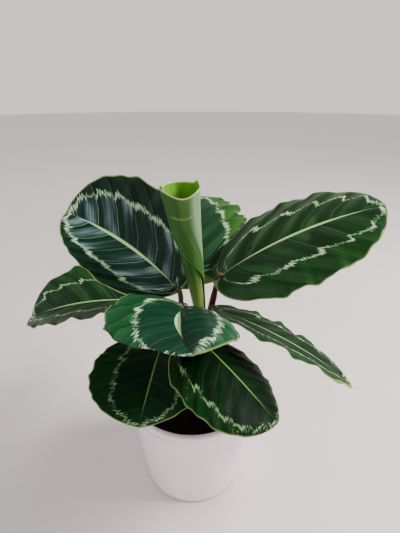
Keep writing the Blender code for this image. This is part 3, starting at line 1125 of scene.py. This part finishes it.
@dataclass
class Soil:
    """The bed of soil, uneven on top, with loose crumbs on it."""

    crumbs: int = 900
    crumb_size: Pair = (0.0006, 0.0017)
    crumb_margin: float = 0.003
    seed: int = 11
    unevenness: float = 0.0012
    fall: float = 0.003
    taper: float = 0.86
    rings: int = 70
    around: int = 180

    def surface(self, x: float, y: float, edge: float, top: float) -> float:
        """The height of the soil at a place.

        Args:
            x: the place's x.
            y: the place's y.
            edge: the bed's radius.
            top: the bed's highest point in the frame.

        Returns:
            The height.
        """
        share = math.hypot(x, y) / edge
        crown = top - self.fall * min(1.0, share / 0.7) ** 1.3
        spot = Vector((x * 90, y * 90, 0.0))
        rough = noise.noise(spot) + 0.6 * noise.noise(spot * 3.1) + 0.35 * noise.noise(spot * 7.3)
        return crown + self.unevenness * rough * min(1.0, (1.001 - share) * 12) - 0.0004

    def build(self) -> None:
        """Builds the bed and its crumbs, and dresses them."""
        low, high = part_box("soil")
        edge = (high[0] - low[0]) / 2
        top = high[2]
        shape = bmesh.new()
        rows = []
        middle = shape.verts.new((0.0, 0.0, self.surface(0.0, 0.0, edge, top)))
        for ring in range(1, self.rings + 1):
            radius = edge * ring / self.rings
            row = []
            for step in range(self.around):
                angle = 2 * math.pi * step / self.around
                x, y = radius * math.cos(angle), radius * math.sin(angle)
                row.append(shape.verts.new((x, y, self.surface(x, y, edge, top))))
            rows.append(row)
        rim = [(vertex.co.x * self.taper, vertex.co.y * self.taper, low[2]) for vertex in rows[-1]]
        rows.append([shape.verts.new(place) for place in rim])
        foot = shape.verts.new((0.0, 0.0, low[2]))
        for step in range(self.around):
            after = (step + 1) % self.around
            shape.faces.new((middle, rows[0][step], rows[0][after]))
            shape.faces.new((foot, rows[-1][after], rows[-1][step]))
            for inner, outer in zip(rows, rows[1:]):
                shape.faces.new((inner[step], outer[step], outer[after], inner[after]))
        self.scatter(shape, edge, top)
        piece = Piece("soil_bed", ("soil",), Slot.SOIL)
        piece.settle(finished(shape, piece.name), [SoilFinish().build("soil_peat")])

    def scatter(self, shape: bmesh.types.BMesh, edge: float, top: float) -> None:
        """Adds crumbs of many sizes to the bed.

        Args:
            shape: the mesh that takes them.
            edge: the bed's radius.
            top: the bed's highest point in the frame.
        """
        dice = np.random.default_rng(self.seed)
        for _ in range(self.crumbs):
            radius = (edge - self.crumb_margin) * math.sqrt(dice.random())
            angle = dice.random() * 2 * math.pi
            size = self.crumb_size[0] + (self.crumb_size[1] - self.crumb_size[0]) * dice.random() ** 2
            x, y = radius * math.cos(angle), radius * math.sin(angle)
            made = bmesh.ops.create_icosphere(shape, subdivisions=1, radius=size)["verts"]
            stretch = 0.6 + dice.random(3) * 0.8
            centre = Vector((x, y, self.surface(x, y, edge, top) + size * 0.35))
            for vertex in made:
                jitter = 1 + 0.25 * (dice.random() - 0.5)
                vertex.co = centre + Vector([c * s * jitter for c, s in zip(vertex.co, stretch)])


ROUTES: dict[str, StalkRoute] = {
    "upper_left": StalkRoute((-0.0113, 0.0093), (-0.06, 0.18), 1.38, 0.45, 0.23),
    "far_left": StalkRoute((-0.0129, -0.0084), (0.03, 0.20), 0.40, 1.14, 0.10),
    "back": StalkRoute((-0.0054, 0.0118), (-0.02, 0.18), 0.71, 0.73, 0.11),
    "right": StalkRoute((0.0045, 0.0147), (0.06, 0.21), 1.36, 1.04, 0.18),
    "low_right": StalkRoute((0.0139, 0.0081), (0.10, 0.12), 0.58, 1.10, 0.10),
    "front": StalkRoute((-0.0051, -0.0027), (-0.06, 0.02), 0.95, 1.29, 0.42),
    "front_left": StalkRoute((-0.0018, -0.0153), (-0.05, -0.18), 0.98, 0.74, 0.36),
    "front_right": StalkRoute((-0.0134, 0.0032), (0.26, -0.03), 0.72, 1.60, 0.88),
}


class Plant:
    """All the leaves of the plant, each with its stalk."""

    def leaves(self) -> list[OpenLeaf]:
        """The open leaves, with the sizes that the frame gives them.

        Returns:
            The leaves, from the top left clockwise and then the low ones.
        """
        # In these finishes the lighter vein colours are painted sheen; the upper left leaf's is a pale
        # blue-grey reflection.
        blue = dict(deep=(0.0014, 0.016, 0.009), sheen_band=(0.130, 0.210, 0.215), outer=(0.0008, 0.008, 0.002),
                    outer_sheen=(0.005, 0.024, 0.012), veins=6.0, thread_share=0.40)
        olive = dict(deep=(0.0032, 0.022, 0.0040), sheen_band=(0.021, 0.078, 0.020), outer=(0.003, 0.024, 0.0035),
                     outer_sheen=(0.009, 0.052, 0.008), veins=5.5, ring_reach=0.55, ring_step=0.12,
                     ring_half=0.022, feather=0.18, rib_half=0.024)
        young = dict(deep=(0.005, 0.028, 0.009), sheen_band=(0.020, 0.080, 0.026), outer=(0.008, 0.048, 0.006),
                     outer_sheen=(0.028, 0.100, 0.013), veins=6.0, rib_half=0.006)
        shaded = dict(deep=(0.0030, 0.019, 0.005), sheen_band=(0.014, 0.045, 0.018), outer=(0.004, 0.026, 0.006),
                      outer_sheen=(0.014, 0.055, 0.014), veins=6.0, rib_half=0.018, ring_half=0.020,
                      shine=0.03, dull=0.45)
        old = dict(deep=(0.0008, 0.008, 0.0022), sheen_band=(0.0030, 0.024, 0.006), outer=(0.0012, 0.013, 0.0028),
                   outer_sheen=(0.004, 0.030, 0.006), rib=(0.12, 0.21, 0.06), ring=(0.24, 0.40, 0.19),
                   rib_half=0.017, ring_half=0.018, thread_share=0.10, shine=0.05, dull=0.42)
        older = old | dict(deep=(0.0016, 0.015, 0.0045), outer=(0.0026, 0.025, 0.006))
        return [
            OpenLeaf("upper_left", (-0.013, 0.000, 0.238), heading=139, pitch=31, length=0.143, width=0.131,
                     sweep=35, droop=9, roll=42, twist=-1, fold=(18, 18), curl=(43, 20),
                     finish=BladeFinish(**blue, seed=1.0)),
            OpenLeaf("far_left", (-0.044, 0.030, 0.208), heading=176, pitch=4, length=0.137, width=0.110,
                     sweep=5, droop=26, twist=9, fold=(17, 20), curl=(-2, 0),
                     finish=BladeFinish(**olive, seed=2.0)),
            OpenLeaf("back", (0.010, 0.022, 0.244), heading=103, pitch=34, length=0.140, width=0.134,
                     droop=29, roll=21, twist=-6, fold=(-2, 0), curl=(-36, -24),
                     ears=(0.012, 0.012), ragged=0.10,
                     finish=BladeFinish(**young, seed=3.0)),
            OpenLeaf("right", (0.028, 0.001, 0.253), heading=-2, pitch=39, length=0.160, width=0.122,
                     sweep=-5, droop=23, roll=-22, twist=8, fold=(4, 4), curl=(-20, -19),
                     pleat=0.0007, ears=(0.003, 0.010),
                     finish=BladeFinish(**olive, seed=4.0)),
            OpenLeaf("low_right", (0.023, -0.003, 0.219), heading=-16, pitch=-13, length=0.149, width=0.100,
                     sweep=3, droop=23, roll=13, twist=-2, fold=(0, 10), curl=(-11, 0), taper=(-0.15, -0.25),
                     finish=BladeFinish(**shaded, seed=5.0)),
            OpenLeaf("front", (-0.006, -0.020, 0.231), heading=-102, pitch=18, length=0.112, width=0.117,
                     sweep=35, droop=10, twist=-21, fold=(34, 28), curl=(-116, -17),
                     taper=(0.0, 0.62),
                     # Its second colour is painted sheen beside the veins.
                     finish=BladeFinish(deep=(0.0030, 0.026, 0.012), sheen_band=(0.009, 0.052, 0.028),
                                        rib_span=(0.12, 0.42, 0.46, 0.80), rib_foot=0.0, rib_half=0.055,
                                        ring_step=0.055, feather=0.24, seed=6.0)),
            OpenLeaf("front_left", (-0.029, -0.002, 0.182), heading=-95, pitch=8, length=0.113, width=0.109,
                     sweep=-1, droop=22, roll=-10, twist=5, fold=(8, 13), curl=(4, 0), ripple=0.0013,
                     finish=BladeFinish(**older, seed=7.0)),
            OpenLeaf("front_right", (0.003, -0.034, 0.209), heading=-55, pitch=-2, length=0.108, width=0.104,
                     sweep=14, droop=32, roll=6, twist=5, fold=(0, 6), curl=(-42, -38), ripple=0.0013,
                     finish=BladeFinish(**old, ring_reach=0.72, wear=0.35, seed=8.0)),
        ]

    def build(self) -> None:
        """Builds every leaf."""
        for leaf in self.leaves():
            leaf.build()
        RolledLeaf().build()


# ---------------------------------------------------------------------------
# The studio


@dataclass
class Studio:
    """A pale floor, soft lights and the camera."""

    floor_radius: float = 6.0
    floor_colour: Colour = (0.76, 0.70, 0.675)
    floor_far: Colour = (0.98, 0.92, 0.90)
    horizon_colour: Colour = (1.06, 0.960, 0.920)
    zenith_colour: Colour = (0.58, 0.57, 0.57)
    sky_strength: float = 1.0
    sky_climb: Pair = (0.15, 0.90)
    eye: Triple = (0.0085, -0.345, 0.424)
    tilt_down: float = 25.0
    lens_mm: float = 27.02
    sensor_mm: float = 36.0

    def floor(self) -> None:
        """Lays the floor."""
        shape = bmesh.new()
        bmesh.ops.create_circle(shape, cap_ends=True, radius=self.floor_radius, segments=96)
        mesh = finished(shape, "floor")
        bench = NodeBench("floor_matte")
        where = bench.place()
        cloud = bench.grain(where, 6.0, 4.0)
        darker = tuple(0.95 * c for c in self.floor_colour)
        near = bench.mix(bench.ease(cloud, 0.35, 0.7), self.floor_colour, darker)
        distance = bench.put("VectorMath", operation="LENGTH")
        bench.feed(distance.inputs[0], where)
        bench.colour(bench.mix(bench.ease(distance.outputs["Value"], 0.4, 1.8), near, self.floor_far))
        bench.roughness(0.55)
        mesh.materials.append(bench.material)
        stand("floor", mesh)

    def sky(self) -> None:
        """Sets a pale surrounding light that is brighter overhead than at the horizon."""
        world = bpy.data.worlds.new("studio")
        world.use_nodes = True
        tree = world.node_tree
        back = tree.nodes["Background"]
        back.inputs["Strength"].default_value = self.sky_strength
        where = tree.nodes.new("ShaderNodeTexCoord")
        split = tree.nodes.new("ShaderNodeSeparateXYZ")
        climb = tree.nodes.new("ShaderNodeMapRange")
        blend = tree.nodes.new("ShaderNodeMix")
        climb.interpolation_type = "SMOOTHSTEP"
        climb.inputs["From Min"].default_value, climb.inputs["From Max"].default_value = self.sky_climb
        blend.data_type = "RGBA"
        blend.inputs[6].default_value = (*self.horizon_colour, 1.0)
        blend.inputs[7].default_value = (*self.zenith_colour, 1.0)
        tree.links.new(where.outputs["Generated"], split.inputs[0])
        tree.links.new(split.outputs[2], climb.inputs["Value"])
        tree.links.new(climb.outputs["Result"], blend.inputs["Factor"])
        tree.links.new(blend.outputs[2], back.inputs["Color"])
        bpy.context.scene.world = world

    def lamp(self, name: str, place: Triple, target: Triple,
             size: float, power: float, colour: Colour) -> None:
        """Hangs one square soft light.

        Args:
            name: the light's name.
            place: where it hangs.
            target: the point that it faces.
            size: its width in metres.
            power: its power in watts.
            colour: its colour.
        """
        light = bpy.data.lights.new(name, "AREA")
        light.size = size
        light.energy = power
        light.color = colour
        made = stand(name, light)
        made.location = place
        made.rotation_euler = (Vector(target) - Vector(place)).to_track_quat("-Z", "Y").to_euler()

    def camera(self) -> None:
        """Sets the camera."""
        lens = bpy.data.cameras.new("camera")
        lens.lens = self.lens_mm
        lens.sensor_width = self.sensor_mm
        lens.clip_start = 0.01
        made = stand("camera", lens)
        made.location = self.eye
        made.rotation_euler = (math.radians(90 - self.tilt_down), 0.0, 0.0)
        bpy.context.scene.camera = made

    def build(self) -> None:
        """Sets up the floor, the lights and the camera."""
        self.floor()
        self.sky()
        self.lamp("key", (0.95, -0.05, 1.10), (0, 0, 0.2), 0.50, 36.0, (1.0, 0.95, 0.91))
        self.lamp("window", (-0.9, -0.25, 0.9), (0, 0, 0.22), 0.8, 4.0, (0.84, 0.92, 1.0))
        self.camera()


def main() -> None:
    """Builds the scene, piece by piece."""
    logging.basicConfig(level=logging.INFO, format="%(name)s %(message)s")
    Studio().build()
    Pot().build()
    Soil().build()
    Plant().build()


if __name__ == "__main__":
    main()
